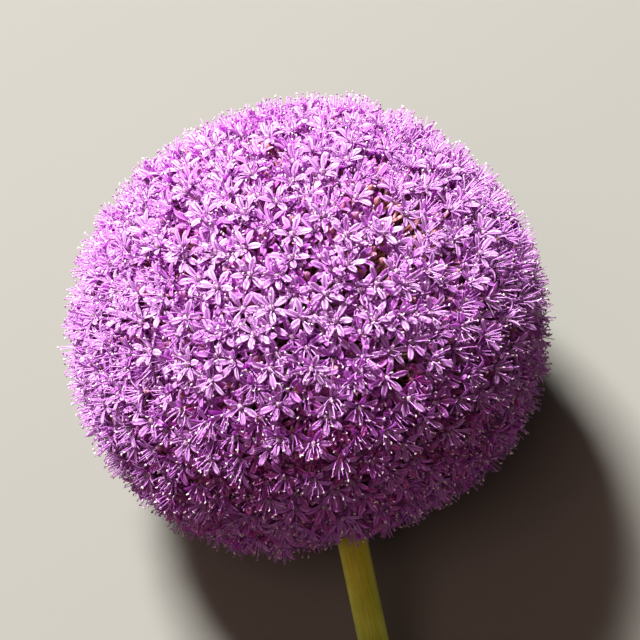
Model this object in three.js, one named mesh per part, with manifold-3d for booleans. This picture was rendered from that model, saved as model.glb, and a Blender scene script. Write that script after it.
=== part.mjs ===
// A giant allium's flower head, cut with a short length of its scape and laid on its side.
// The head is a ball of star-shaped florets, each on a pedicel that grows from the scape's tip at
// the ball's centre. Each floret has six tepals and six stamens, which stand out past the tepals
// and give the ball its bristly outline.
// The flower rests on the florets under the ball, which its weight presses flat, and on the lower
// edge of the scape's cut end. Millimetres, +Z up. The origin is on the resting surface, under the
// middle of the ball. The scape runs towards -Y and down to the surface.

import * as THREE from "three";
import { mergeVertices } from "three/addons/utils/BufferGeometryUtils.js";
import Module from "manifold-3d";

const wasm = await Module();
wasm.setup();

// ---- Driving dimensions ----

// The ball, measured to the stamens' tips, from its centre and by the angle from its crown.
const BALL_MEAN = 73.3;
const BALL_FLATTENING = 2.1; // wider across than from crown to scape
const DIMPLE_DEPTH = 7.0; // the hollow where the scape comes out
const DIMPLE_WIDTH = THREE.MathUtils.degToRad(29.4);
const REST_HEIGHT = 66.2; // ball's centre above the surface it lies on

// The florets. The real ones are about 11 mm across, and are drawn larger here and fewer.
const FLORET_COUNT = 136;
const FLORET_RADIUS = 12.3;
const NOTCH_RADIUS = 2.8; // where two tepals part
const TEPAL_WIDEST = 7.8; // how far out a tepal is widest
const TEPAL_HALF_ANGLE = THREE.MathUtils.degToRad(24);
const TEPAL_RISE = 1.3; // the tepals lift into a shallow bowl
const LEAST_CUP = 0.5; // share of that rise in the flattest floret
const MOST_CUP = 1.4; // and in the deepest
const LEVEL_CUP = 0.3; // and in the one pressed on the surface
const OVARY_HEIGHT = 1.2;
const STAMEN_LENGTH = 8.0;
const STAMEN_SPREAD = 4.4; // a stamen's tip, out from the floret's own axis
const PEDICEL_RADIUS = 1.2; // under the floret, thinning towards the ball's middle
const RECEPTACLE_DEPTH = 2.3; // from the tepals down to the pedicel's top

// Neighbouring florets stand at different heights, so that their tepals overlap like tiles.
const LAYERS = 3;
const LAYER_STEP = 1.8;
const HEIGHT_JITTER = 0.4;
const MOST_LEAN = THREE.MathUtils.degToRad(4);

// Round the scape, florets too near to it are left out and the next ones are narrower.
const SCAPE_CLEARANCE = THREE.MathUtils.degToRad(10);
const SCAPE_GAP = 1;

// The crowded pedicels and buds inside the ball are one smaller solid with an uneven surface,
// which the florets stand out of.
const CORE_INSET = 12;
const CORE_RELIEF = 5;
const CORE_DETAIL = 3;
const PEDICEL_ROOT = 12; // how far a pedicel runs into the core

// The scape
const SCAPE_LENGTH = 170; // from the ball's centre to the cut
const SCAPE_RADIUS = 4.5; // in the ball
const CUT_RADIUS = 4.8; // at the cut end
const KNOB_RADIUS = 7.0; // the swollen tip that the pedicels grow from
const KNOB_LENGTH = 14;
const KNOB_GAP = 0.4;
const FLARE_STEPS = 4;
const DOME_STEPS = 4;
const SCAPE_SIDES = 24;
const CUT_BEVEL = 0.3;

// The scape dips until the lower edge of its cut end meets the surface.
const SCAPE_DIP =
  Math.asin(REST_HEIGHT / Math.hypot(SCAPE_LENGTH, CUT_RADIUS)) -
  Math.atan(CUT_RADIUS / SCAPE_LENGTH);

const BALL_CENTRE = new THREE.Vector3(0, 0, REST_HEIGHT);
const UP = new THREE.Vector3(0, 0, 1);
const CROWN = new THREE.Vector3(0, Math.cos(SCAPE_DIP), Math.sin(SCAPE_DIP));
const toFlower = new THREE.Quaternion().setFromUnitVectors(UP, CROWN); // +Z becomes the crown's way

// ---- Helpers ----

// Gives the same numbers between 0 and 1 on every run.
function seededRandom(seed) {
  let state = seed;
  return () => {
    state = (state + 0x6d2b79f5) | 0;
    let t = Math.imul(state ^ (state >>> 15), 1 | state);
    t = (t + Math.imul(t ^ (t >>> 7), 61 | t)) ^ t;
    return ((t ^ (t >>> 14)) >>> 0) / 4294967296;
  };
}

function solidFrom(geometry) {
  const bare = geometry.clone();
  bare.deleteAttribute("normal");
  bare.deleteAttribute("uv");
  const merged = mergeVertices(bare, 1e-4);
  return new wasm.Manifold(
    new wasm.Mesh({
      numProp: 3,
      vertProperties: merged.attributes.position.array,
      triVerts: new Uint32Array(merged.index.array),
    }),
  );
}

function geometryFrom(solid) {
  const mesh = solid.getMesh();
  const geometry = new THREE.BufferGeometry();
  geometry.setAttribute("position", new THREE.BufferAttribute(mesh.vertProperties, 3));
  geometry.setIndex(new THREE.BufferAttribute(mesh.triVerts, 1));
  const flat = geometry.toNonIndexed();
  flat.computeVertexNormals();
  return flat;
}

// The ball's radius at an angle from its crown.
function ballRadius(fromCrown) {
  const fromScape = (Math.PI - fromCrown) / DIMPLE_WIDTH;
  const dimple = DIMPLE_DEPTH * Math.exp(-fromScape * fromScape);
  return BALL_MEAN - BALL_FLATTENING * Math.cos(2 * fromCrown) - dimple;
}

// ---- One floret, opening towards +Z with its tepals' bases at the origin ----

// One closed mesh: a six-tepal star on top, narrowing below to a three-sided pedicel that ends in
// a point at rootDepth. Each stamen is a three-sided spike raised over a tepal's base.
function floretGeometry(rootDepth, cup) {
  const points = [];
  const faces = [];
  const add = (radius, angle, z) =>
    points.push(new THREE.Vector3(radius * Math.cos(angle), radius * Math.sin(angle), z)) - 1;
  const sixth = Math.PI / 3;

  const ovary = add(0, 0, OVARY_HEIGHT);
  const tepals = [];
  for (let i = 0; i < 6; i++) {
    const middle = i * sixth;
    tepals.push({
      notch: add(NOTCH_RADIUS, middle - sixth / 2, 0),
      near: add(TEPAL_WIDEST, middle - TEPAL_HALF_ANGLE, TEPAL_RISE * cup),
      tip: add(FLORET_RADIUS, middle, TEPAL_RISE * cup * 1.15),
      far: add(TEPAL_WIDEST, middle + TEPAL_HALF_ANGLE, TEPAL_RISE * cup),
      stamen: add(STAMEN_SPREAD, middle, STAMEN_LENGTH),
    });
  }
  const neck = [0, 1, 2].map((j) => add(PEDICEL_RADIUS, 2 * j * sixth, -RECEPTACLE_DEPTH));
  const root = add(0, 0, -rootDepth);

  tepals.forEach((tepal, i) => {
    const nextNotch = tepals[(i + 1) % 6].notch;
    faces.push([tepal.notch, tepal.near, nextNotch], [tepal.near, tepal.far, nextNotch]);
    faces.push([tepal.near, tepal.tip, tepal.far]);
    faces.push([ovary, tepal.notch, tepal.stamen], [tepal.notch, nextNotch, tepal.stamen]);
    faces.push([nextNotch, ovary, tepal.stamen]);
  });

  // Underneath, each point of the rim joins the nearest corner of the pedicel's top.
  const rim = tepals.flatMap((tepal) => [tepal.notch, tepal.near, tepal.tip, tepal.far]);
  const cornerOf = (place) => Math.round((place - 2) / 8) % 3; // each corner serves eight rim points
  rim.forEach((point, k) => {
    const next = (k + 1) % rim.length;
    const corner = cornerOf(k);
    const nextCorner = cornerOf(k + 1);
    faces.push([rim[next], point, neck[corner]]);
    if (nextCorner !== corner) faces.push([rim[next], neck[corner], neck[nextCorner]]);
  });
  neck.forEach((corner, j) => faces.push([neck[(j + 1) % 3], corner, root]));

  const geometry = new THREE.BufferGeometry().setFromPoints(points);
  geometry.setIndex(faces.flat());
  return geometry;
}

// ---- The head ----

// Where the florets stand: a spiral by the golden angle, from the crown to round the scape. Its
// turn is set so that one floret faces straight down, where the ball rests. Those beside each other
// are 8 or 13 steps apart on the spiral, so counting by threes puts them in different layers.
function floretPlaces() {
  const goldenAngle = Math.PI * (3 - Math.sqrt(5));
  const down = new THREE.Vector3(0, 0, -1).applyQuaternion(toFlower.clone().invert());
  const fromCrown = (k) => Math.acos(1 - (2 * (k + 0.5)) / FLORET_COUNT);
  const lowest = Math.round(((1 - down.z) * FLORET_COUNT) / 2 - 0.5);
  const turn = Math.atan2(down.y, down.x) - lowest * goldenAngle;
  const places = [];
  for (let k = 0; k < FLORET_COUNT; k++) {
    if (fromCrown(k) > Math.PI - SCAPE_CLEARANCE) continue;
    places.push({
      fromCrown: fromCrown(k),
      around: k * goldenAngle + turn,
      layer: Math.abs(k - lowest) % LAYERS,
      level: k === lowest,
    });
  }
  return places;
}

// A geodesic ball that follows the head's own form, with each corner drawn in by a random depth.
function coreSolid(random) {
  const ball = new THREE.IcosahedronGeometry(1, CORE_DETAIL);
  ball.deleteAttribute("normal");
  ball.deleteAttribute("uv");
  const core = mergeVertices(ball, 1e-4);
  const corners = core.attributes.position;
  const point = new THREE.Vector3();
  for (let i = 0; i < corners.count; i++) {
    point.fromBufferAttribute(corners, i).normalize();
    point.multiplyScalar(ballRadius(Math.acos(point.z)) - CORE_INSET - CORE_RELIEF * random());
    corners.setXYZ(i, point.x, point.y, point.z);
  }
  return solidFrom(core);
}

// The hole that the scape comes up through, from outside the dimple to round its swollen tip.
function socketSolid() {
  const end = KNOB_LENGTH / 2 + KNOB_GAP;
  const length = BALL_MEAN + end;
  const radius = KNOB_RADIUS + KNOB_GAP;
  const socket = new THREE.CylinderGeometry(radius, radius, length, SCAPE_SIDES);
  socket.rotateX(Math.PI / 2).translate(0, 0, end - length / 2);
  return solidFrom(socket);
}

function floretSolid({ fromCrown, around, layer, level }, random) {
  const way = new THREE.Vector3(
    Math.sin(fromCrown) * Math.cos(around),
    Math.sin(fromCrown) * Math.sin(around),
    Math.cos(fromCrown),
  );
  const sink = level ? 0 : layer * LAYER_STEP + HEIGHT_JITTER * random();
  const cup = level ? LEVEL_CUP : THREE.MathUtils.lerp(LEAST_CUP, MOST_CUP, random());
  const stand = ballRadius(fromCrown) - STAMEN_LENGTH - sink;
  const rootDepth = CORE_INSET + PEDICEL_ROOT - STAMEN_LENGTH - sink;

  const leanWay = 2 * Math.PI * random();
  const leanAxis = new THREE.Vector3(Math.cos(leanWay), Math.sin(leanWay), 0);
  const lean = new THREE.Quaternion().setFromAxisAngle(leanAxis, level ? 0 : MOST_LEAN * random());
  const spin = new THREE.Quaternion().setFromAxisAngle(UP, 2 * Math.PI * random());
  const turn = new THREE.Quaternion().setFromUnitVectors(UP, way).multiply(lean).multiply(spin);

  const room = stand * Math.sin(fromCrown) - CUT_RADIUS - SCAPE_GAP;
  const narrowing = fromCrown > Math.PI / 2 ? Math.min(1, room / FLORET_RADIUS) : 1;

  const geometry = floretGeometry(rootDepth, cup);
  geometry.scale(narrowing, narrowing, 1);
  geometry.applyQuaternion(turn);
  geometry.translate(way.x * stand, way.y * stand, way.z * stand);
  return solidFrom(geometry);
}

function makeHead() {
  const random = seededRandom(7);
  const core = coreSolid(random).subtract(socketSolid());
  const florets = floretPlaces().map((place) => floretSolid(place, random));
  const joined = florets.reduce((whole, floret) => whole.add(floret), core);

  // The flower's own frame is turned and lifted to where it lies, and the surface presses the
  // lowest florets flat.
  const laid = geometryFrom(joined);
  laid.applyQuaternion(toFlower);
  laid.translate(BALL_CENTRE.x, BALL_CENTRE.y, BALL_CENTRE.z);
  const reach = 3 * BALL_MEAN;
  const below = new THREE.BoxGeometry(reach, reach, reach).translate(0, 0, -reach / 2);
  return geometryFrom(solidFrom(laid).subtract(solidFrom(below)));
}

// ---- The scape ----

// Turned about its own axis, from the cut end up to the swollen tip.
function makeScape() {
  const profile = [
    new THREE.Vector2(0, 0),
    new THREE.Vector2(CUT_RADIUS - CUT_BEVEL, 0),
    new THREE.Vector2(CUT_RADIUS, CUT_BEVEL),
    new THREE.Vector2(SCAPE_RADIUS, SCAPE_LENGTH - KNOB_LENGTH),
  ];
  // The tip flares from the scape's own radius, then closes in a dome.
  for (let i = 1; i <= FLARE_STEPS; i++) {
    const share = i / FLARE_STEPS;
    const radius = THREE.MathUtils.lerp(SCAPE_RADIUS, KNOB_RADIUS, share * share);
    profile.push(new THREE.Vector2(radius, SCAPE_LENGTH - KNOB_LENGTH * (1 - share)));
  }
  for (let i = 1; i <= DOME_STEPS; i++) {
    const angle = (i / DOME_STEPS) * (Math.PI / 2);
    const radius = i === DOME_STEPS ? 0 : KNOB_RADIUS * Math.cos(angle);
    profile.push(new THREE.Vector2(radius, SCAPE_LENGTH + (KNOB_LENGTH / 2) * Math.sin(angle)));
  }
  const geometry = new THREE.LatheGeometry(profile, SCAPE_SIDES);
  geometry.translate(0, -SCAPE_LENGTH, 0).rotateX(Math.PI / 2);
  return geometryFrom(solidFrom(geometry));
}

const tepalLilac = new THREE.MeshStandardMaterial({
  color: 0xb46cc4,
  roughness: 0.55,
  metalness: 0,
});
const scapeGreen = new THREE.MeshStandardMaterial({
  color: 0x7d7f2c,
  roughness: 0.5,
  metalness: 0,
});

const head = new THREE.Mesh(makeHead(), tepalLilac);
head.name = "flower_head";

const scape = new THREE.Mesh(makeScape(), scapeGreen);
scape.name = "scape";
scape.quaternion.copy(toFlower);
scape.position.copy(BALL_CENTRE);

const flower = new THREE.Group();
flower.add(head, scape);
export default flower;
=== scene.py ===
"""A giant allium's flower head, cut and laid on its side on a pale floor.

The ball holds some 2,600 florets in five rows of depth, each on a pedicel that grows from the swollen
tip of the scape, with closed buds between them. Every floret has an outer and an inner whorl of three
tepals, six stamens, and an ovary with its style.

Sizes are in millimetres, and a mesh is turned to metres when it is made. The flower's own frame has
its origin at the ball's centre and +Z towards the crown. The model's frame has its origin on the
floor, under the ball.
"""

import math

import bpy
import numpy as np
from mathutils import Matrix, Vector


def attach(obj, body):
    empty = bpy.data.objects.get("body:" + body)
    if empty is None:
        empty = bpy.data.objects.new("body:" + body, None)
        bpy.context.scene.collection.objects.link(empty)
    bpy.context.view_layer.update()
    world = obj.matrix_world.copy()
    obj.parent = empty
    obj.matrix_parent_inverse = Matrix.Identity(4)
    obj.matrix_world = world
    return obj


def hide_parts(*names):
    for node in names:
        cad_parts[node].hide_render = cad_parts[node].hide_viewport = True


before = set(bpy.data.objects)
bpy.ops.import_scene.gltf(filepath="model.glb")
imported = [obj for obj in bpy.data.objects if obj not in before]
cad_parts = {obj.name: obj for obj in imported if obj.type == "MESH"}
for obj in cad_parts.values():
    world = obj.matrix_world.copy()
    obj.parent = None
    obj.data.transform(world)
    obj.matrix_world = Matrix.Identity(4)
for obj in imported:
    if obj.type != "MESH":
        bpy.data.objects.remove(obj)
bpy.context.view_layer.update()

MM = 0.001
rng = np.random.default_rng(23)

# ---- Driving sizes, shared with the solids ----

# The ball's outline over the stamens' tips, by the angle from its crown, dimpled round the scape.
BALL_MEAN = 73.3
BALL_FLATTENING = 2.1
DIMPLE_DEPTH = 7.0
DIMPLE_WIDTH = math.radians(29.4)
REST_HEIGHT = 66.2  # from the floor to the ball's centre

SCAPE_LENGTH = 170.0  # from the cut to the ball's centre
SCAPE_RADIUS = 4.5
CUT_RADIUS = 4.8
KNOB_RADIUS = 7.0
KNOB_LENGTH = 14.0

# The scape dips from the ball's centre until the lower edge of its cut touches the floor.
CUT_EDGE_ANGLE = math.atan(CUT_RADIUS / SCAPE_LENGTH)
SCAPE_DIP = math.asin(REST_HEIGHT / math.hypot(SCAPE_LENGTH, CUT_RADIUS)) - CUT_EDGE_ANGLE
CROWN = np.array([0.0, math.cos(SCAPE_DIP), math.sin(SCAPE_DIP)])

# ---- Where the florets stand ----

FLORET_COUNT = 2620
STAND_BELOW_TIPS = 5.4  # a front floret's tepals open this far under the ball's outline
ROW_SPACING = 7.9  # no two florets of one row are nearer than this
# Each row's depths under the front, the most that its florets lean, and its tints, 1 the palest. The deeper
# rows take darker tints: painted shade in the ball's depth.
ROWS = {
    "front": ((0.0, 1.0), math.radians(20), (0.66, 1.0)),
    "second": ((1.0, 2.3), math.radians(26), (0.4, 0.82)),
    "third": ((2.2, 3.6), math.radians(30), (0.2, 0.58)),
    "fourth": ((3.4, 4.8), math.radians(32), (0.1, 0.45)),
    "back": ((4.4, 6.4), math.radians(32), (0.0, 0.35)),
}
# Painted light and shade: florets are paler over the crown and the ball's middle, where the light falls,
# and darker towards the scape, where the ball is in shade. By the angle from the crown, this much is added
# to their tints.
PAINTED_LIGHT_AND_SHADE_ANGLES = np.radians([60, 95, 125])
PAINTED_LIGHT_AND_SHADE_TINTS = [0.12, 0.12, -0.48]
TINT_SPREAD = 0.08  # between the tepals of one floret
# The ball hangs in a lobe beside the scape, dips over its front and swells beside the crown.
# Each bulge has its way from the ball's centre, its height and its width.
BULGES = [
    ((-0.5, 0.0, -0.87), 2.0, math.radians(20)),
    ((-0.27, 0.0, -0.96), 3.6, math.radians(12)),
    ((0.14, -0.25, -0.96), 2.6, math.radians(10)),
    ((0.41, 0.0, 0.91), 1.8, math.radians(20)),
]
THIN_WAY = (0.48, -0.81, 0.35)
THIN_WIDTH = math.radians(11)
THIN_SHARE = 0.5  # of the florets at the middle of the thin spot, this many are missing
# A small dark hollow, where nearly all the florets are missing.
HOLLOW_WAY = (0.29, -0.93, -0.22)
HOLLOW_WIDTH = math.radians(5)
HOLLOW_SHARE = 0.9
SCAPE_CLEARANCE = 10.5  # from the scape's axis to the nearest floret
GOLDEN_ANGLE = math.pi * (3 - math.sqrt(5))
PLACE_JITTER = 1.2

FLOOR_CLEARANCE = 0.1
SQUASH_HEIGHT = 5.0  # florets lower than this are pressed by the ball's weight

# ---- A floret's own sizes ----

TEPAL_LENGTH = 6.1
TEPAL_LENGTH_SPREAD = 0.05  # as a share of its length
TEPAL_HALF_WIDTH = 0.98
TEPAL_WIDEST = 0.6  # at this share of its length
TEPAL_FOOT = 0.25  # its width at the base, as a share of the widest
TEPAL_SHOULDER = 1.1  # the higher, the later it widens
TEPAL_TIP_NARROWING = 0.42  # its tip is narrower than its widest by this share
TEPAL_TIP_ROUNDING = 0.16  # the tip's corners fall back by this share of its length
TEPAL_THICKNESS = 0.16
TEPAL_TIP_THINNING = 0.4  # its tip is thinner than its base by this share
TEPAL_CHANNEL = 0.26  # the edges stand this far above the keel
TEPAL_TWIST = 0.16  # the slope across it, from tepal to tepal
TEPAL_TURN_SPREAD = 0.07  # in radians, round the floret
TEPAL_BASE_RADIUS = 0.55  # from the floret's axis
# A tepal rises steeply at its base and levels out towards its tip. In degrees: the rise, how much
# steeper it is for each 1 that its floret is closed, and the spread between tepals.
TEPAL_RISE_AT_BASE = (46, 10, 5)
TEPAL_RISE_AT_TIP = (8, 22, 10)
CLOSING_SPREAD = 0.5  # between florets, about a mean of 0
TEPAL_ROWS = np.array([0.0, 0.2, 0.4, 0.6, 0.8, 1.0])
TEPAL_COLUMNS = np.array([-1.0, -0.55, 0.0, 0.55, 1.0])
VEIN_SPACING = 0.245
VEIN_LENGTH = 10.17
VEIN_SHIFT = 60.0  # a tepal's tint times this moves its veins' pattern, so that few are alike

FILAMENT_LENGTH = 6.0
FILAMENT_LENGTH_SHARES = (0.74, 1.02)  # from floret to floret
FILAMENT_LENGTH_SPREAD = 0.06  # within one floret
FILAMENT_RADII = np.array([0.28, 0.22, 0.18, 0.15, 0.11])
FILAMENT_TURN_SPREAD = 0.12  # in radians, round the floret
FILAMENT_BASE_RADIUS = 0.75  # from the floret's axis
FILAMENT_BASE_HEIGHT = 0.3
# A filament starts out from the floret's axis and draws in. In degrees: its lean and the spread.
FILAMENT_LEAN_AT_BASE = (34, 7)
FILAMENT_LEAN_AT_TIP = (9, 9)
ANTHER_LENGTH = 0.9
ANTHER_RADIUS = 0.23
OVARY_HEIGHT = 1.9
OVARY_RADIUS = 1.1
STYLE_LENGTH = 4.6
STYLE_SINK = 0.2  # its foot stands this deep in the ovary
STYLE_LEAN = 0.25  # its middle stands this far off the axis, and its tip twice as far
STYLE_RADII = np.array([0.2, 0.13, 0.12])
PEDICEL_START = 4.5  # inside the knob, from the ball's centre
PEDICEL_BEND = 0.35  # over this share of its length it turns to its floret's axis
PEDICEL_RADIUS = 0.36
PEDICEL_RADII = PEDICEL_RADIUS * np.array([1.0, 1.0, 0.95, 0.95, 1.0, 1.1, 1.9])

# Closed buds stand on stalks of their own among the deeper rows.
BUD_COUNT = 1300
BUD_JITTER = 3 * PLACE_JITTER
BUD_DEPTHS = (3.0, 7.0)
BUD_LEAN = math.radians(20)
THIN_BUD_RISE = 2.2  # at the middle of the thin spot the buds stand this much higher
BUD_LENGTH = 4.0
BUD_RADIUS = 1.15

# The outlines of swollen parts, in pairs: a share of the length, and of the radius there.
ANTHER_OUTLINE = np.array([(-0.5, 0.45), (-0.32, 1.0), (0.32, 1.0), (0.5, 0.45)]).T
OVARY_OUTLINE = np.array([(0.0, 0.45), (0.3, 0.95), (0.72, 0.9), (1.0, 0.3)]).T
BUD_OUTLINE = np.array([(0.0, 0.35), (0.15, 0.8), (0.35, 1.0), (0.6, 0.85), (0.85, 0.45), (1.0, 0.1)]).T
LOBE_DEPTH = 0.12  # of the ovaries' and buds' three lobes, as a share of the radius

THREAD_SIDES = 4
ANTHER_SIDES = 6
LOBED_SIDES = 12

BROWN_WIDTH = 1.5 * THIN_WIDTH
# The higher, the fewer stalks or buds are brown away from the thin spot.
BROWN_STALK_RARITY = 2.0
BROWN_BUD_RARITY = 0.5

# ---- The scape's finer sizes ----

CUT_BEVEL = 0.3
CUT_RINGS = (1.2, 3.2, 4.1)  # the radii of the rings across the cut face
AXIS_RADIUS = 0.02  # a ring that closes on the axis is this small
SCAPE_STEPS = 24
FLARE_STEPS = 8
DOME_STEPS = 6
SCAPE_SIDES = 84
RIB_COUNT = 14
RIB_DEPTH = 0.004  # as a share of the radius
RIBLESS_RADIUS = 4.3  # what is narrower has no ribs: the cut face and the dome's top
FIBRE_WIDTH = 0.45  # the stalk's lengthwise fibres, drawn coarser than life so that they show
FIBRE_STRETCH = 25  # they are this many times as long as wide
BUNDLE_SPACING = 1.0  # between the sap bundles that dot the cut face
BLOOM_PATCH = 9.0  # the size of the patches where the bloom is worn off

# ---- Camera, floor and lamps ----

IMAGE_SIDE = 640  # pixels
PIXELS_PER_MM = 3.27
BALL_PIXEL = (308, 330)  # the ball's centre in the frame
SCAPE_TILT = math.radians(11.9)  # the crown leans left in the frame, the scape right
CAMERA_DISTANCE = 900.0
SENSOR_WIDTH = 36.0
VIEW_END = 20000.0  # past the floor's far corners

FLOOR_HALF_WIDTH = 3000.0
FLOOR_DROP = 0.2  # the floor lies this far under the flower, clear of its lowest points

BALL_CENTRE = np.array([0.0, 0.0, REST_HEIGHT])
TOWARDS_CAMERA = np.array([0.0, -math.sin(SCAPE_DIP), math.cos(SCAPE_DIP)])
SIDEWAYS = np.array([1.0, 0.0, 0.0])
FRAME_RIGHT = math.cos(SCAPE_TILT) * SIDEWAYS - math.sin(SCAPE_TILT) * CROWN
FRAME_UP = math.sin(SCAPE_TILT) * SIDEWAYS + math.cos(SCAPE_TILT) * CROWN

LAMP_DISTANCE = 3000.0
# Each lamp's way from the ball, its size, its watts and its colour: a sun-like key from the upper
# left, and a weak, warm fill.
LAMPS = {
    "key": (0.83 * FRAME_UP - 0.4 * FRAME_RIGHT + 0.57 * TOWARDS_CAMERA, 700.0, 448.0, "#FEFDFF"),
    "fill": (0.1 * FRAME_UP - 0.3 * FRAME_RIGHT + TOWARDS_CAMERA, 1500.0, 21.0, "#FFD4CA"),
}


# ---- Directions and frames ----


def unit(vectors):
    return vectors / np.linalg.norm(vectors, axis=-1, keepdims=True)


def angle_between(ways, other):
    return np.arccos(np.clip(ways @ unit(np.array(other)), -1, 1))


def nearness(ways, middle, width):
    """1 at the middle of a spot, fading outwards over its width."""
    return np.exp(-((angle_between(ways, middle) / width) ** 2))


def across_from(ways):
    """Two directions square to each way and to each other."""
    helper = np.where(np.abs(ways[..., 2:]) < 0.9, [0.0, 0.0, 1.0], [1.0, 0.0, 0.0])
    first = unit(np.cross(helper, ways))
    return first, np.cross(ways, first)


def to_model(points):
    """From the flower's own frame to the model's, still in millimetres."""
    dip_sine, dip_cosine = math.sin(SCAPE_DIP), math.cos(SCAPE_DIP)
    turn = np.array([[1, 0, 0], [0, dip_sine, -dip_cosine], [0, dip_cosine, dip_sine]], float)
    return points @ turn + BALL_CENTRE


def pressed(points):
    """Points near the floor sink no further than it: what would pass below is pressed flat."""
    start = FLOOR_CLEARANCE + SQUASH_HEIGHT
    low = points[..., 2] < start
    squashed = points.copy()
    depth = (points[..., 2][low] - start) / SQUASH_HEIGHT
    squashed[..., 2][low] = FLOOR_CLEARANCE + SQUASH_HEIGHT * np.exp(depth)
    return squashed


def placed(local, origins, axes):
    """Moves points in the florets' own frames, (count, ..., 3), to the model's frame."""
    turned = np.einsum("n...i,nij->n...j", local, axes)
    lead = (len(origins),) + (1,) * (local.ndim - 2)
    return pressed(to_model(turned + origins.reshape(lead + (3,))))


# ---- Meshes ----


def blade_faces(rows, columns):
    """Quads of a closed blade: a top grid, and an underside that shares the top's rim."""
    top = np.arange(rows * columns).reshape(rows, columns)
    under = top.copy()
    inner = (rows - 2) * (columns - 2)
    under[1:-1, 1:-1] = rows * columns + np.arange(inner).reshape(rows - 2, columns - 2)

    def quads(grid):
        return np.stack([grid[:-1, :-1], grid[1:, :-1], grid[1:, 1:], grid[:-1, 1:]], -1).reshape(-1, 4)

    return np.concatenate([quads(top), quads(under)[:, ::-1]])


def tube_faces(rings, sides):
    """Quads of a closed tube with an even number of sides, its ends included."""
    ring = np.arange(rings * sides).reshape(rings, sides)
    following = np.roll(ring, -1, axis=1)
    walls = np.stack([ring[:-1], following[:-1], following[1:], ring[1:]], -1).reshape(-1, 4)
    fan = np.array([[0, i, i + 1, i + 2] for i in range(1, sides - 2, 2)])
    return np.concatenate([walls, fan[:, ::-1], fan + (rings - 1) * sides])


def ring_angles(sides):
    return 2 * math.pi * np.arange(sides) / sides


def tubes(lines, radii, sides, lobes=None):
    """Round tubes along many lines at once. lines is (count, rings, 3), radii is by ring."""
    ways = unit(lines[:, -1] - lines[:, 0])
    first, second = across_from(ways)
    angles = ring_angles(sides)
    shape = np.ones(sides) if lobes is None else lobes(angles)
    wide = radii[..., :, None] * (shape * np.cos(angles))
    deep = radii[..., :, None] * (shape * np.sin(angles))
    wide, deep = np.broadcast_arrays(wide, deep)
    return (
        lines[:, :, None, :]
        + wide[..., None] * first[:, None, None, :]
        + deep[..., None] * second[:, None, None, :]
    )


def three_lobes(angles):
    return 1 + LOBE_DEPTH * np.cos(3 * angles)


def ring_fields(rings, sides):
    """How far across and along its tube each point of a tube is."""
    across = np.tile(np.sin(ring_angles(sides)), rings)
    along = np.repeat(np.linspace(0, 1, rings), sides)
    return across, along


def bake_map(count, across, along):
    """Where each point lies on the map for baking: every repeat has its own square cell."""
    margin = 0.08
    cells = math.ceil(math.sqrt(count))
    index = np.arange(count)
    left = (index % cells)[:, None] + 0.5 + (0.5 - margin) * across
    low = (index // cells)[:, None] + margin + (1 - 2 * margin) * along
    return np.stack([left, low], -1).reshape(-1, 2) / cells


def make_piece(name, points, faces, fields, across, material, node):
    """One mesh of many alike repeats. points is (count, points in one, 3), in millimetres."""
    count, each = points.shape[:2]
    mesh = bpy.data.meshes.new(name)
    corners = (faces[None] + each * np.arange(count)[:, None, None]).reshape(-1)
    quads = len(corners) // 4
    mesh.vertices.add(count * each)
    mesh.vertices.foreach_set("co", (points * MM).astype(np.float32).reshape(-1))
    mesh.loops.add(len(corners))
    mesh.loops.foreach_set("vertex_index", corners.astype(np.int32))
    mesh.polygons.add(quads)
    mesh.polygons.foreach_set("loop_start", 4 * np.arange(quads, dtype=np.int32))
    for field, values in fields.items():
        spread = np.broadcast_to(values, (count, each)).astype(np.float32).reshape(-1)
        mesh.attributes.new(field, "FLOAT", "POINT").data.foreach_set("value", spread)
    places = bake_map(count, across, fields["along"])
    layer = mesh.uv_layers.new(name="OFBake")
    layer.data.foreach_set("uv", places[corners].astype(np.float32).reshape(-1))
    mesh.update(calc_edges=True)
    mesh.validate()
    mesh.shade_smooth()
    mesh.materials.append(material)
    piece = bpy.data.objects.new(name, mesh)
    bpy.context.scene.collection.objects.link(piece)
    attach(piece, "root")
    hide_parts(node)


def make_tubes(name, lines, radii, sides, tints, material, lobes=None):
    """One piece of many round tubes. lines is (count, rings, 3), in the model's frame."""
    points = tubes(lines, radii, sides, lobes)
    points[..., 2] = np.maximum(points[..., 2], FLOOR_CLEARANCE / 2)
    count, rings = points.shape[:2]
    across, along = ring_fields(rings, sides)
    fields = {"along": along, "tint": tints[:, None]}
    points = points.reshape(count, -1, 3)
    faces = tube_faces(rings, sides)
    make_piece(name, points, faces, fields, across, material, "flower_head")


# ---- Materials ----

# The output that a node of each kind gives to the next, where it isn't the first one.
GIVEN_OUTPUTS = {
    "ShaderNodeAttribute": "Fac",
    "ShaderNodeLightPath": "Is Camera Ray",
    "ShaderNodeMix": 2,
    "ShaderNodeTexCoord": "Object",
}
# A Mix node's sockets for colours, by number because its other sockets have the same names.
SHARE, UNDER, OVER = 0, 6, 7
BLEND = {"data_type": "RGBA", "blend_type": "MIX"}
STAIN = {"data_type": "RGBA", "blend_type": "MULTIPLY"}


def linear(hex_colour):
    """An sRGB hex value as a linear colour with full alpha."""
    shares = [int(hex_colour[i : i + 2], 16) / 255 for i in (1, 3, 5)]
    return [s / 12.92 if s <= 0.04045 else ((s + 0.055) / 1.055) ** 2.4 for s in shares] + [1.0]


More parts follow.
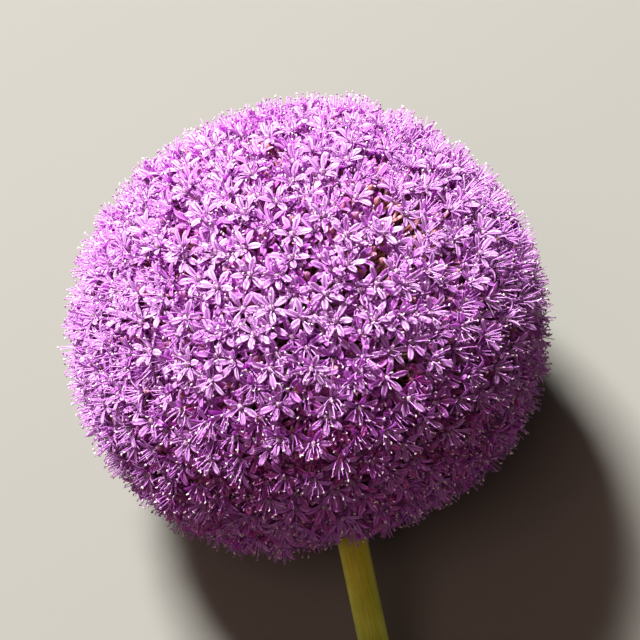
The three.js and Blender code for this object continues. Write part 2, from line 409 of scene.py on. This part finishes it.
def add(tree, kind, inputs=None, stops=None, **settings):
    """Adds a node. Each input is a value for its socket, or the node that feeds it. A colour ramp's
    stops are pairs of a place and an sRGB hex value."""
    node = tree.nodes.new(kind)
    for setting, value in settings.items():
        setattr(node, setting, value)
    for socket, value in (inputs or {}).items():
        if isinstance(value, bpy.types.Node):
            output = GIVEN_OUTPUTS.get(value.bl_idname, 0)
            tree.links.new(value.outputs[output], node.inputs[socket])
        else:
            node.inputs[socket].default_value = value
    if stops:
        elements = node.color_ramp.elements
        while len(elements) < len(stops):
            elements.new(1.0)
        for element, (place, colour) in zip(elements, stops):
            element.position = place
            element.color = linear(colour)
    return node


def new_material(name):
    material = bpy.data.materials.new(name)
    material.use_nodes = True
    material.node_tree.nodes.clear()
    return material, material.node_tree


def tepal_tissue():
    """Petal tissue, a few soft, wet cells thick and full of violet sap. Light soaks through it, the
    thin edges are nearly white, and the thicker keel down the middle stays dark."""
    material, tree = new_material("lilac petal tissue")
    across = add(tree, "ShaderNodeAttribute", attribute_name="across")
    along = add(tree, "ShaderNodeAttribute", attribute_name="along")
    tint = add(tree, "ShaderNodeAttribute", attribute_name="tint")
    keel_to_edge = add(
        tree,
        "ShaderNodeValToRGB",
        {"Fac": across},
        [(0.0, "#9A5CAE"), (0.13, "#C08ACC"), (0.28, "#E6C0EA"), (0.55, "#F4DAF5"), (1.0, "#FBEEFC")],
    )
    base_to_tip = add(
        tree, "ShaderNodeValToRGB", {"Fac": along}, [(0.0, "#E0CCE6"), (0.3, "#DEB2E2"), (1.0, "#F2D2F4")]
    )
    # The tint carries painted light and shade: paler on the front rows and near the crown, darker on the
    # deeper rows and towards the scape. It also varies at random between florets and tepals.
    tint_and_painted_shade = add(
        tree,
        "ShaderNodeValToRGB",
        {"Fac": tint},
        [(0.0, "#FA5CCC"), (0.3, "#F080F4"), (0.7, "#F8CAFA"), (1.0, "#FFF4FF")],
    )
    body = add(tree, "ShaderNodeMix", {SHARE: 0.3, UNDER: keel_to_edge, OVER: base_to_tip}, **BLEND)
    tinted = add(tree, "ShaderNodeMix", {SHARE: 0.75, UNDER: body, OVER: tint_and_painted_shade}, **STAIN)
    # Veins run from base to tip. The noise has two of its cells to each.
    place = add(tree, "ShaderNodeCombineXYZ", {"X": across, "Y": along, "Z": tint})
    stretch = (TEPAL_HALF_WIDTH / VEIN_SPACING, TEPAL_LENGTH / VEIN_LENGTH, VEIN_SHIFT)
    stretched = add(tree, "ShaderNodeVectorMath", {0: place, 1: stretch}, operation="MULTIPLY")
    veins = add(tree, "ShaderNodeTexNoise", {"Vector": stretched, "Scale": 2.0})
    streaks = add(tree, "ShaderNodeValToRGB", {"Fac": veins}, [(0.3, "#D0A0D4"), (0.62, "#FFFFFF")])
    colour = add(tree, "ShaderNodeMix", {SHARE: 0.35, UNDER: tinted, OVER: streaks}, **STAIN)
    bump = add(tree, "ShaderNodeBump", {"Height": veins, "Strength": 0.35, "Distance": 0.05 * MM})
    surface = add(
        tree,
        "ShaderNodeBsdfPrincipled",
        {"Base Color": colour, "Roughness": 0.42, "IOR": 1.38, "Normal": bump},
    )
    glow = add(tree, "ShaderNodeMix", {SHARE: 0.7, UNDER: colour, OVER: linear("#F0A0F2")}, **STAIN)
    through = add(tree, "ShaderNodeBsdfTranslucent", {"Color": glow})
    both = add(tree, "ShaderNodeMixShader", {0: 0.55, 1: surface, 2: through})
    add(tree, "ShaderNodeOutputMaterial", {"Surface": both})
    return material


def soft_tissue(name, field, stops, roughness, mottling, grain, coat=0.0, tinted_stops=None):
    """Soft plant tissue whose colour runs with one field, with darker mottling of a given grain.
    Where the tint is 1, the colour is that of tinted_stops."""
    material, tree = new_material(name)
    place = add(tree, "ShaderNodeAttribute", attribute_name=field)
    colour = add(tree, "ShaderNodeValToRGB", {"Fac": place}, stops)
    if tinted_stops:
        tint = add(tree, "ShaderNodeAttribute", attribute_name="tint")
        tinted = add(tree, "ShaderNodeValToRGB", {"Fac": place}, tinted_stops)
        colour = add(tree, "ShaderNodeMix", {SHARE: tint, UNDER: colour, OVER: tinted}, **BLEND)
    coordinates = add(tree, "ShaderNodeTexCoord")
    speckle = add(
        tree,
        "ShaderNodeTexNoise",
        {"Vector": coordinates, "Scale": 1 / (grain * MM), "Detail": 3.0, "Roughness": 0.6},
    )
    shade = add(tree, "ShaderNodeValToRGB", {"Fac": speckle}, [(0.35, mottling), (0.65, "#FFFFFF")])
    bump = add(tree, "ShaderNodeBump", {"Height": speckle, "Strength": 0.4, "Distance": 0.1 * grain * MM})
    surface = add(
        tree,
        "ShaderNodeBsdfPrincipled",
        {
            "Base Color": add(tree, "ShaderNodeMix", {SHARE: 0.8, UNDER: colour, OVER: shade}, **STAIN),
            "Roughness": roughness,
            "IOR": 1.42,
            "Coat Weight": coat,
            "Coat Roughness": 0.15,
            "Normal": bump,
        },
    )
    add(tree, "ShaderNodeOutputMaterial", {"Surface": surface})
    return material


def filament_tissue():
    """Thin, sappy threads, violet where the tint is low, which on the deeper rows and towards the scape is
    painted shade, and nearly white on the palest florets, where they glint against the tepals."""
    return soft_tissue(
        "violet filament",
        "along",
        [(0.0, "#B470B8"), (0.4, "#9C48A4"), (1.0, "#94409C")],
        roughness=0.45,
        mottling="#DCC0E8",
        grain=0.8,
        tinted_stops=[(0.0, "#ECD4F0"), (0.4, "#DCA4E0"), (1.0, "#CC84D2")],
    )


def anther_dust():
    """Burst pods, dry and matt. A third of them are pale with pollen, whose grit is drawn coarse
    enough to show, and the others are empty and violet."""
    return soft_tissue(
        "pollen dusted anther",
        "tint",
        [(0.0, "#ECDDE0"), (0.25, "#D2BCC8"), (0.38, "#B088B2"), (1.0, "#925E98")],
        roughness=0.8,
        mottling="#DCC8C4",
        grain=0.15,
    )


def ovary_skin():
    """A plump, wet skin, green below and violet above, with a little gloss from its nectar."""
    return soft_tissue(
        "wet green and violet ovary",
        "along",
        [(0.0, "#8E8A58"), (0.5, "#98788C"), (1.0, "#B088B0")],
        roughness=0.35,
        mottling="#B9A0A8",
        grain=0.4,
        coat=0.2,
    )


def bud_skin():
    """Closed tepals, deeper in colour than open ones. The withered buds are dull and brown."""
    return soft_tissue(
        "closed bud",
        "along",
        [(0.0, "#8E6C86"), (0.35, "#A860A4"), (0.7, "#B860B8"), (1.0, "#CC88D2")],
        roughness=0.45,
        mottling="#C8A8B8",
        grain=0.5,
        tinted_stops=[(0.0, "#94864C"), (0.35, "#A88058"), (0.7, "#AC7C68"), (1.0, "#BC8A90")],
    )


def pedicel_skin():
    """Soft green stalks, flushed violet towards the floret. The withered ones are pale straw."""
    return soft_tissue(
        "violet flushed pedicel",
        "along",
        [(0.0, "#948C54"), (0.5, "#9C6C78"), (0.8, "#A45C98"), (1.0, "#B468B4")],
        roughness=0.5,
        mottling="#D0B8B0",
        grain=0.9,
        tinted_stops=[(0.0, "#C0B478"), (0.5, "#D0AC78"), (0.8, "#D8A480"), (1.0, "#D0989C")],
    )


def scape_skin():
    """A waxy green stalk with fine lengthwise fibres. A faint grey bloom dulls it, which is worn off
    in patches, and the wet face of the cut is pale pith with darker sap bundles."""
    material, tree = new_material("waxy green stalk")
    along = add(tree, "ShaderNodeAttribute", attribute_name="along")
    cut = add(tree, "ShaderNodeAttribute", attribute_name="cut")
    coordinates = add(tree, "ShaderNodeTexCoord")
    patches = add(
        tree, "ShaderNodeTexNoise", {"Vector": coordinates, "Scale": 1 / (BLOOM_PATCH * MM), "Detail": 4.0}
    )
    lengthwise = add(
        tree,
        "ShaderNodeMapping",
        {"Vector": coordinates, "Rotation": (SCAPE_DIP, 0, 0), "Scale": (1, FIBRE_STRETCH, 1)},
        vector_type="TEXTURE",
    )
    fibres = add(
        tree, "ShaderNodeTexNoise", {"Vector": lengthwise, "Scale": 1 / (FIBRE_WIDTH * MM), "Detail": 3.0}
    )
    # Painted light and shade: the green is lighter over the stretch beside the ball, which lies in the
    # ball's shadow, and darker towards the cut, where the lamp falls on it. The brown towards the ball is
    # the stalk's own colour.
    green = add(
        tree,
        "ShaderNodeValToRGB",
        {"Fac": along},
        [(0.0, "#7E8A44"), (0.3, "#8C9644"), (0.44, "#B8BE42"), (0.56, "#C4B834"), (1.0, "#966C38")],
    )
    bloom = add(tree, "ShaderNodeValToRGB", {"Fac": patches}, [(0.4, "#DCE4B4"), (0.65, "#FFFFFF")])
    streaks = add(tree, "ShaderNodeValToRGB", {"Fac": fibres}, [(0.35, "#C6CC8E"), (0.6, "#FFFFFF")])
    dulled = add(tree, "ShaderNodeMix", {SHARE: 0.7, UNDER: green, OVER: bloom}, **STAIN)
    skin = add(tree, "ShaderNodeMix", {SHARE: 0.6, UNDER: dulled, OVER: streaks}, **STAIN)
    pith = add(
        tree,
        "ShaderNodeValToRGB",
        {"Fac": cut},
        [(0.0, "#E8EAC6"), (0.55, "#DCE2B0"), (0.85, "#B4C074"), (1.0, "#7F8E3C")],
    )
    bundles = add(
        tree, "ShaderNodeTexVoronoi", {"Vector": lengthwise, "Scale": 1 / (BUNDLE_SPACING * MM)}
    )
    dots = add(tree, "ShaderNodeValToRGB", {"Fac": bundles}, [(0.16, "#98A868"), (0.3, "#FFFFFF")])
    cut_face = add(tree, "ShaderNodeMix", {SHARE: 0.8, UNDER: pith, OVER: dots}, **STAIN)
    at_cut = add(tree, "ShaderNodeMath", {0: cut, 1: 0.001}, operation="GREATER_THAN")
    bump = add(tree, "ShaderNodeBump", {"Height": fibres, "Strength": 0.5, "Distance": 0.06 * MM})
    surface = add(
        tree,
        "ShaderNodeBsdfPrincipled",
        {
            "Base Color": add(tree, "ShaderNodeMix", {SHARE: at_cut, UNDER: skin, OVER: cut_face}, **BLEND),
            "Roughness": 0.5,
            "IOR": 1.4,
            "Specular IOR Level": 0.3,
            "Normal": bump,
        },
    )
    add(tree, "ShaderNodeOutputMaterial", {"Surface": surface})
    return material


def painted_board():
    """A matt painted board: grey, even and without a glare in low light."""
    material, tree = new_material("matt painted board")
    surface = add(
        tree,
        "ShaderNodeBsdfPrincipled",
        {"Base Color": linear("#6F6E67"), "Roughness": 0.85, "Specular IOR Level": 0.12},
    )
    add(tree, "ShaderNodeOutputMaterial", {"Surface": surface})
    return material


# ---- The florets ----


def ball_radius(from_crown):
    dimple = DIMPLE_DEPTH * np.exp(-(((math.pi - from_crown) / DIMPLE_WIDTH) ** 2))
    return BALL_MEAN - BALL_FLATTENING * np.cos(2 * from_crown) - dimple


def spiral_places(count, jitter):
    """Ways from the ball's centre: a golden-angle spiral, a little disturbed, clear of the scape."""
    k = np.arange(count)
    height = 1 - 2 * (k + 0.5) / count
    around = k * GOLDEN_ANGLE
    out = np.sqrt(1 - height**2)
    ways = np.stack([out * np.cos(around), out * np.sin(around), height], -1)
    ways = unit(ways + rng.normal(0, jitter / BALL_MEAN, ways.shape))
    from_axis = np.hypot(ways[:, 0], ways[:, 1]) * (BALL_MEAN - STAND_BELOW_TIPS - DIMPLE_DEPTH)
    return ways[(ways[:, 2] > 0) | (from_axis > SCAPE_CLEARANCE)]


def floret_places():
    ways = spiral_places(FLORET_COUNT, PLACE_JITTER)
    thin = THIN_SHARE * nearness(ways, THIN_WAY, THIN_WIDTH)
    hollow = HOLLOW_SHARE * nearness(ways, HOLLOW_WAY, HOLLOW_WIDTH)
    return ways[rng.random(len(ways)) > np.maximum(thin, hollow)]


def spaced_ones(ways):
    """Marks the florets of one row: as many as fit with none too near to another."""
    chosen = np.zeros(len(ways), bool)
    too_near = math.cos(ROW_SPACING / (BALL_MEAN - STAND_BELOW_TIPS))
    for k in rng.permutation(len(ways)):
        chosen[k] = not (ways[chosen] @ ways[k] > too_near).any()
    return chosen


def floret_frames(ways, depths, most_lean):
    """Each floret's origin, where its tepals meet, and its own three axes as rows."""
    radius = ball_radius(np.arccos(ways[:, 2])) - STAND_BELOW_TIPS - depths
    for way, height, width in BULGES:
        radius += height * nearness(ways, way, width)
    first, second = across_from(ways)
    lean_way = rng.uniform(0, 2 * math.pi, len(ways))[:, None]
    lean = np.tan(most_lean * np.sqrt(rng.random(len(ways))))[:, None]
    axis = unit(ways + lean * (np.cos(lean_way) * first + np.sin(lean_way) * second))
    first, second = across_from(axis)
    spin = rng.uniform(0, 2 * math.pi, len(ways))[:, None]
    side = np.cos(spin) * first + np.sin(spin) * second
    return ways * radius[:, None], np.stack([side, np.cross(axis, side), axis], 1)


def bent_lines(angles, shares, length):
    """Follows lines that bend as they grow. Returns how far their points are along the direction
    that the angles are measured from, and how far they are from it."""
    middle = (angles[..., 1:] + angles[..., :-1]) / 2
    step = np.diff(shares) * length[..., None]
    start = np.zeros(angles.shape[:-1] + (1,))
    forward = np.concatenate([start, np.cumsum(step * np.cos(middle), -1)], -1)
    sideways = np.concatenate([start, np.cumsum(step * np.sin(middle), -1)], -1)
    return forward, sideways


def tepal_outline():
    """A tepal's half width and thickness at each of its rows."""
    rows = TEPAL_ROWS
    widening = np.sin(math.pi / 2 * np.minimum(rows / TEPAL_WIDEST, 1)) ** TEPAL_SHOULDER
    narrowing = TEPAL_TIP_NARROWING * (np.maximum(rows - TEPAL_WIDEST, 0) / (1 - TEPAL_WIDEST)) ** 2
    half_width = TEPAL_HALF_WIDTH * (TEPAL_FOOT + (1 - TEPAL_FOOT) * widening) * (1 - narrowing)
    return half_width, TEPAL_THICKNESS * (1 - TEPAL_TIP_THINNING * rows)


def tepal_rise(degrees, closing):
    """Three tepals' rise for each floret, from degrees as TEPAL_RISE_AT_BASE gives them."""
    level, by_closing, spread = degrees
    return np.radians(level + by_closing * closing[:, None] + rng.normal(0, spread, (len(closing), 3)))


def tepals(origins, axes, whorl, closing):
    """Three blunt tepals to each floret, round its middle. whorl 0 is the outer three."""
    count = len(origins)
    rows, columns = TEPAL_ROWS, TEPAL_COLUMNS
    spacing = math.radians(60) * (2 * np.arange(3) + whorl)
    turn = (spacing + rng.normal(0, TEPAL_TURN_SPREAD, (count, 3)))[..., None, None]
    length = TEPAL_LENGTH * (1 + rng.normal(0, TEPAL_LENGTH_SPREAD, (count, 3)))
    rise_start = tepal_rise(TEPAL_RISE_AT_BASE, closing)[..., None]
    rise_end = tepal_rise(TEPAL_RISE_AT_TIP, closing)[..., None]
    twist = rng.normal(0, TEPAL_TWIST, (count, 3))[..., None, None]

    rise = rise_start + (rise_end - rise_start) * rows
    out, up = bent_lines(rise, rows, length)
    rise_sine, rise_cosine = np.sin(rise)[..., None], np.cos(rise)[..., None]
    half_width, thickness = tepal_outline()
    sideways = half_width[:, None] * columns
    square = columns**2
    # The tip is rounded: towards the edges the rows fall back towards the base.
    fall = TEPAL_TIP_ROUNDING * length[..., None, None] * rows[:, None] ** 4 * square

    def surface(lift):
        lift = lift + twist * sideways
        radial = TEPAL_BASE_RADIUS + out[..., None] - rise_sine * lift - rise_cosine * fall
        height = up[..., None] + rise_cosine * lift - rise_sine * fall
        right = radial * np.cos(turn) - sideways * np.sin(turn)
        ahead = radial * np.sin(turn) + sideways * np.cos(turn)
        return np.stack([right, ahead, height], -1)

    channel = TEPAL_CHANNEL * (half_width / TEPAL_HALF_WIDTH)[:, None] * square
    top = surface(channel)
    under = surface(channel - thickness[:, None] * (1 - square))[:, :, 1:-1, 1:-1]
    local = np.concatenate([top.reshape(count, 3, -1, 3), under.reshape(count, 3, -1, 3)], 2)
    points = placed(local, origins, axes).reshape(count * 3, -1, 3)

    def by_point(values):
        grid = np.broadcast_to(values, (len(rows), len(columns)))
        return np.concatenate([grid.reshape(-1), grid[1:-1, 1:-1].reshape(-1)])

    return points, blade_faces(len(rows), len(columns)), by_point(columns), by_point(rows[:, None])


def make_tepals(row, origins, axes, tint, material):
    """The outer and the inner whorl of each floret."""
    count = len(origins)
    closing = rng.normal(0, CLOSING_SPREAD, count)
    for whorl, whorl_name in enumerate(("outer", "inner")):
        points, faces, across, along = tepals(origins, axes, whorl, closing)
        tints = np.clip(np.repeat(tint, 3) + rng.normal(0, TINT_SPREAD, count * 3), 0, 1)
        fields = {"across": np.abs(across), "along": along, "tint": tints[:, None]}
        name = f"{row}_{whorl_name}_tepals"
        make_piece(name, points, faces, fields, across, material, "flower_head")


def filament_lean(degrees, count):
    """Six filaments' lean for each floret, from degrees as FILAMENT_LEAN_AT_BASE gives them."""
    middle, spread = degrees
    return np.radians(middle + rng.normal(0, spread, (count, 6)))[..., None]


def filament_lines(count):
    """The six filaments of each floret as lines in its own frame, rising and drawing together."""
    shares = np.linspace(0, 1, len(FILAMENT_RADII))
    turn = math.radians(60) * np.arange(6) + rng.normal(0, FILAMENT_TURN_SPREAD, (count, 6))
    length = FILAMENT_LENGTH * rng.uniform(*FILAMENT_LENGTH_SHARES, (count, 1))
    length = length * (1 + rng.normal(0, FILAMENT_LENGTH_SPREAD, (count, 6)))
    start = filament_lean(FILAMENT_LEAN_AT_BASE, count)
    end = filament_lean(FILAMENT_LEAN_AT_TIP, count)
    up, out = bent_lines(start + (end - start) * shares, shares, length)
    up = FILAMENT_BASE_HEIGHT + up
    out = FILAMENT_BASE_RADIUS + out
    return np.stack([out * np.cos(turn)[..., None], out * np.sin(turn)[..., None], up], -1)


def make_stamens(row, origins, axes, tint, finishes):
    """Six filaments to each floret, with an anther across the tip of each."""
    count = len(origins)
    filaments = placed(filament_lines(count), origins, axes).reshape(count * 6, -1, 3)
    tints = np.repeat(tint, 6)
    make_tubes(f"{row}_filaments", filaments, FILAMENT_RADII, THREAD_SIDES, tints, finishes["filament"])

    tips = filaments[:, -1]
    facing = unit(rng.normal(0, 1, tips.shape))
    reach, swell = ANTHER_OUTLINE
    pods = tips[:, None] + ANTHER_LENGTH * reach[:, None] * facing[:, None]
    pods[..., 2] = np.maximum(pods[..., 2], FLOOR_CLEARANCE + ANTHER_RADIUS)
    radii = ANTHER_RADIUS * swell
    make_tubes(f"{row}_anthers", pods, radii, ANTHER_SIDES, rng.random(count * 6), finishes["anther"])


def upright_lines(count, heights):
    """A line up each floret's own axis."""
    lines = np.zeros((count, len(heights), 3))
    lines[..., 2] = heights
    return lines


def make_pistils(row, origins, axes, tint, finishes):
    """A three-lobed ovary in the middle of each floret, with a slightly bent style on it."""
    count = len(origins)
    heights, swell = OVARY_OUTLINE
    ovaries = placed(upright_lines(count, OVARY_HEIGHT * heights), origins, axes)
    radii = OVARY_RADIUS * swell
    make_tubes(f"{row}_ovaries", ovaries, radii, LOBED_SIDES, tint, finishes["ovary"], three_lobes)

    shares = np.linspace(0, 1, len(STYLE_RADII))
    styles = upright_lines(count, OVARY_HEIGHT - STYLE_SINK + STYLE_LENGTH * shares)
    styles[..., :2] = rng.normal(0, STYLE_LEAN, (count, 1, 2)) * 2 * shares[:, None]
    styles = placed(styles, origins, axes)
    make_tubes(f"{row}_styles", styles, STYLE_RADII, THREAD_SIDES, tint, finishes["filament"])


def browning(ways, rarity):
    """How brown each stalk or bud is: near the thin spot, and some of them elsewhere."""
    near_thin = nearness(ways, THIN_WAY, BROWN_WIDTH)
    return np.maximum(near_thin, rng.random(len(ways)) ** rarity)


def make_pedicels(name, ways, origins, axes, material):
    """Stalks from the tip of the scape to each floret's or bud's origin, bent to meet its axis."""
    share = np.linspace(0, 1, len(PEDICEL_RADII))[:, None]
    bend = origins - axes[:, 2] * PEDICEL_BEND * np.linalg.norm(origins, axis=1, keepdims=True)
    lines = (
        (1 - share) ** 2 * PEDICEL_START * ways[:, None]
        + 2 * share * (1 - share) * bend[:, None]
        + share**2 * origins[:, None]
    )
    lines = pressed(to_model(lines))
    make_tubes(name, lines, PEDICEL_RADII, THREAD_SIDES, browning(ways, BROWN_STALK_RARITY), material)


def make_florets(finishes):
    """Fills the ball row by row, from its surface inwards. The back row takes all that are left."""
    ways = floret_places()
    for row, (depths, most_lean, tints) in ROWS.items():
        chosen = np.ones(len(ways), bool) if row == "back" else spaced_ones(ways)
        row_ways = ways[chosen]
        count = len(row_ways)
        row_depths = rng.uniform(*depths, count)
        # Painted light and shade: tints are raised over the crown and the middle, where the lamp falls, and
        # lowered towards the scape, where the ball is in shade.
        painted_light_and_shade = np.interp(np.arccos(row_ways[:, 2]), PAINTED_LIGHT_AND_SHADE_ANGLES, PAINTED_LIGHT_AND_SHADE_TINTS)
        tint = np.clip(rng.uniform(*tints, count) + painted_light_and_shade, 0, 1)
        origins, axes = floret_frames(row_ways, row_depths, most_lean)
        make_tepals(row, origins, axes, tint, finishes["tepal"])
        make_stamens(row, origins, axes, tint, finishes)
        make_pistils(row, origins, axes, tint, finishes)
        make_pedicels(f"{row}_pedicels", row_ways, origins, axes, finishes["pedicel"])
        ways = ways[~chosen]


def make_buds(finishes):
    """Closed buds on their own pedicels, higher and browner in the thin spot."""
    ways = spiral_places(BUD_COUNT, BUD_JITTER)
    depths = rng.uniform(*BUD_DEPTHS, len(ways)) - THIN_BUD_RISE * nearness(ways, THIN_WAY, THIN_WIDTH)
    origins, axes = floret_frames(ways, depths, BUD_LEAN)
    tint = browning(ways, BROWN_BUD_RARITY)
    heights, swell = BUD_OUTLINE
    buds = placed(upright_lines(len(ways), BUD_LENGTH * heights), origins, axes)
    make_tubes("buds", buds, BUD_RADIUS * swell, LOBED_SIDES, tint, finishes["bud"], three_lobes)
    make_pedicels("bud_pedicels", ways, origins, axes, finishes["pedicel"])


# ---- The scape ----


def steps_over(count):
    """The share of a stretch at the end of each of its steps."""
    return np.linspace(0, 1, count + 1)[1:]


def scape_outline():
    """The stalk's outline: its heights from the cut to the top of the dome, and its radii there."""
    outline = [(0.0, radius) for radius in (AXIS_RADIUS, *CUT_RINGS, CUT_RADIUS - CUT_BEVEL)]
    outline.append((CUT_BEVEL, CUT_RADIUS))
    straight = SCAPE_LENGTH - KNOB_LENGTH
    for share in steps_over(SCAPE_STEPS):
        height = CUT_BEVEL + share * (straight - CUT_BEVEL)
        outline.append((height, CUT_RADIUS + share * (SCAPE_RADIUS - CUT_RADIUS)))
    for share in steps_over(FLARE_STEPS):
        radius = SCAPE_RADIUS + share**2 * (KNOB_RADIUS - SCAPE_RADIUS)
        outline.append((straight + KNOB_LENGTH * share, radius))
    for share in steps_over(DOME_STEPS):
        angle = share * math.pi / 2
        radius = max(KNOB_RADIUS * math.cos(angle), AXIS_RADIUS)
        outline.append((SCAPE_LENGTH + KNOB_LENGTH / 2 * math.sin(angle), radius))
    return np.array(outline).T


def make_scape(material):
    """The stalk: faintly ribbed, bevelled at the cut, and flaring to the dome the pedicels grow on."""
    heights, radii = scape_outline()
    angles = ring_angles(SCAPE_SIDES)
    ribs = 1 - RIB_DEPTH * (0.5 - 0.5 * np.cos(RIB_COUNT * angles))
    spread = radii[:, None] * np.where(radii[:, None] > RIBLESS_RADIUS, ribs, 1)
    levels = np.broadcast_to(heights[:, None] - SCAPE_LENGTH, spread.shape)
    points = np.stack([spread * np.cos(angles), spread * np.sin(angles), levels], -1)
    points = to_model(points).reshape(1, -1, 3)
    faces = tube_faces(len(heights), SCAPE_SIDES)
    across, _ = ring_fields(len(heights), SCAPE_SIDES)
    along = heights / (SCAPE_LENGTH + KNOB_LENGTH / 2)
    cut = np.where(heights <= 0.0, radii / CUT_RADIUS, 0.0)
    fields = {"along": np.repeat(along, SCAPE_SIDES), "cut": np.repeat(cut, SCAPE_SIDES)}
    make_piece("scape_stalk", points, faces, fields, across, material, "scape")


# ---- Camera, floor and light ----


def make_camera():
    """Square to the scape, as the flower is seen from the side, and looking down on it."""
    off_right = (IMAGE_SIDE / 2 - BALL_PIXEL[0]) / PIXELS_PER_MM
    off_up = (BALL_PIXEL[1] - IMAGE_SIDE / 2) / PIXELS_PER_MM
    target = BALL_CENTRE + off_right * FRAME_RIGHT + off_up * FRAME_UP
    place = target + CAMERA_DISTANCE * TOWARDS_CAMERA
    data = bpy.data.cameras.new("camera")
    data.sensor_width = SENSOR_WIDTH
    data.lens = SENSOR_WIDTH * CAMERA_DISTANCE * PIXELS_PER_MM / IMAGE_SIDE
    data.clip_end = VIEW_END * MM
    camera = bpy.data.objects.new("camera", data)
    turn = Matrix([FRAME_RIGHT, FRAME_UP, TOWARDS_CAMERA]).transposed().to_4x4()
    camera.matrix_world = Matrix.Translation(Vector(place * MM)) @ turn
    bpy.context.scene.collection.objects.link(camera)
    bpy.context.scene.camera = camera


def make_lamps():
    """Soft square lamps that face the ball."""
    for name, (way, size, watts, colour) in LAMPS.items():
        data = bpy.data.lights.new(name, "AREA")
        data.size = size * MM
        data.energy = watts
        data.color = linear(colour)[:3]
        lamp = bpy.data.objects.new(name, data)
        lamp.location = (BALL_CENTRE + unit(way) * LAMP_DISTANCE) * MM
        lamp.rotation_euler = Vector(unit(way)).to_track_quat("Z", "Y").to_euler()
        bpy.context.scene.collection.objects.link(lamp)


def make_floor():
    """A plain board, far larger than the flower."""
    half = FLOOR_HALF_WIDTH * MM
    level = -FLOOR_DROP * MM
    corners = [(-half, -half, level), (half, -half, level), (half, half, level), (-half, half, level)]
    mesh = bpy.data.meshes.new("floor")
    mesh.from_pydata(corners, [], [(0, 1, 2, 3)])
    mesh.materials.append(painted_board())
    floor = bpy.data.objects.new("floor", mesh)
    bpy.context.scene.collection.objects.link(floor)


def make_world():
    """A dim, warm room light. Past the floor's edge the room itself shows as a pale wall."""
    world = bpy.data.worlds.new("soft room")
    world.use_nodes = True
    tree = world.node_tree
    tree.nodes.clear()
    light = add(tree, "ShaderNodeBackground", {"Color": linear("#FFE8D6"), "Strength": 0.07})
    wall = add(tree, "ShaderNodeBackground", {"Color": linear("#DAD7CC"), "Strength": 1.0})
    seen = add(tree, "ShaderNodeLightPath")
    both = add(tree, "ShaderNodeMixShader", {0: seen, 1: light, 2: wall})
    add(tree, "ShaderNodeOutputWorld", {"Surface": both})
    bpy.context.scene.world = world
    bpy.context.scene.view_settings.view_transform = "Standard"


make_camera()
make_lamps()
make_floor()
make_world()

finishes = {
    "tepal": tepal_tissue(),
    "filament": filament_tissue(),
    "anther": anther_dust(),
    "ovary": ovary_skin(),
    "bud": bud_skin(),
    "pedicel": pedicel_skin(),
}
make_florets(finishes)
make_buds(finishes)
make_scape(scape_skin())
